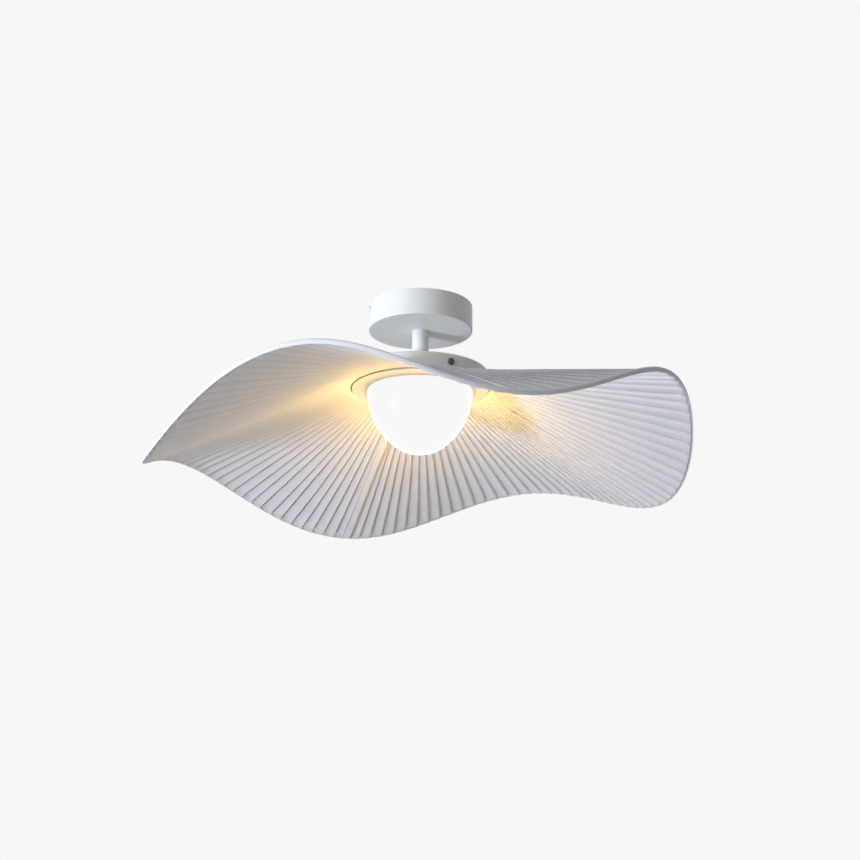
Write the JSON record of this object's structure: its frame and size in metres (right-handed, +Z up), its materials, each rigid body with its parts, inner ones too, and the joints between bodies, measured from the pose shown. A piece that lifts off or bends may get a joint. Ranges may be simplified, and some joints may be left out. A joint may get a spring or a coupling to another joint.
{
  "type": "ceiling light",
  "caption": "Ceiling light with a round canopy, a short stem, a drum with a wavy pleated fabric shade that spreads and droops round it, and an opal glass lit warm white.",
  "frame": {"origin": "centre of the ceiling plane, on the axis of the stem", "axes": "+Z up into the ceiling, +X along the row of the two screw slots, the picture taken from -Y"},
  "size_m": [0.5998, 0.6, 0.22],
  "materials": {
    "zinc_plate": "zinc-plated sheet steel",
    "zinc_steel": "zinc-plated steel",
    "white_enamel": "white powder coat, satin",
    "cream_enamel": "off-white powder coat, satin",
    "dark_chrome": "polished plating, reads dark",
    "frame_steel": "white-painted steel wire",
    "pleated_cloth": "thin pleated white cloth, slightly lavender",
    "binding_cloth": "white cloth tape",
    "silicone": "translucent silicone",
    "opal_glass": "satin opal glass, lit warm white",
    "bulb_glass": "opal lamp envelope",
    "bulb_metal": "bright cap",
    "holder_plastic": "moulded thermoset",
    "porcelain": "white glaze",
    "contact_brass": "plain brass",
    "block_plastic": "natural polyamide",
    "brown_wire": "brown insulation",
    "blue_wire": "blue insulation",
    "green_wire": "green and yellow insulation"
  },
  "bodies": {
    "fixture": {"mounting_plate": "zinc_plate", "canopy": "white_enamel", "stem": "white_enamel", "drum": "white_enamel", "tray": "cream_enamel", "tray_ring": "zinc_plate", "glass_collar": "zinc_plate", "canopy_screws": "white_enamel", "drum_screws": "dark_chrome", "hub_strip": "frame_steel", "spokes": "frame_steel", "rim_wire": "frame_steel", "rim_binding": "binding_cloth", "seam_strip": "binding_cloth", "fabric_panel_1": "pleated_cloth", "fabric_panel_2": "pleated_cloth", "fabric_panel_3": "pleated_cloth", "fabric_panel_4": "pleated_cloth", "lampholder_cap": "holder_plastic", "lampholder_body": "porcelain", "screw_shell": "contact_brass", "centre_contact": "contact_brass", "terminal_block": "block_plastic", "live_wire": "brown_wire", "neutral_wire": "blue_wire", "earth_wire": "green_wire", "threaded_tube": "zinc_steel", "upper_washer": "zinc_steel", "upper_nut": "zinc_steel", "lower_washer": "zinc_steel", "lower_nut": "zinc_steel", "tray_nuts": "zinc_steel", "terminal_screws": "zinc_steel", "block_screw": "zinc_steel", "earth_screw": "zinc_steel", "earth_lug": "zinc_steel"},
    "gasket": {"gasket": "silicone"},
    "glass": {"glass": "opal_glass", "glass_ring": "zinc_plate"},
    "bulb": {"bulb_cap": "bulb_metal", "bulb_globe": "bulb_glass"}
  },
  "joints": [
    {"name": "glass_travel", "type": "slide", "parent": "fixture", "child": "gasket", "axis": [0, 0, -1], "range_m": [0, 0.01]},
    {"name": "glass_turn", "type": "hinge", "parent": "gasket", "child": "glass", "pos_m": [0, 0, -0.1], "axis": [0, 0, -1], "range_deg": [0, 900.1]},
    {"name": "bulb_travel", "type": "slide", "parent": "fixture", "child": "bulb", "axis": [0, 0, -1], "range_m": [0, 0.00726]}
  ],
  "couplings": [
    {"joint": "glass_turn", "follows": "glass_travel", "rad_per_m": 1570.8}
  ]
}
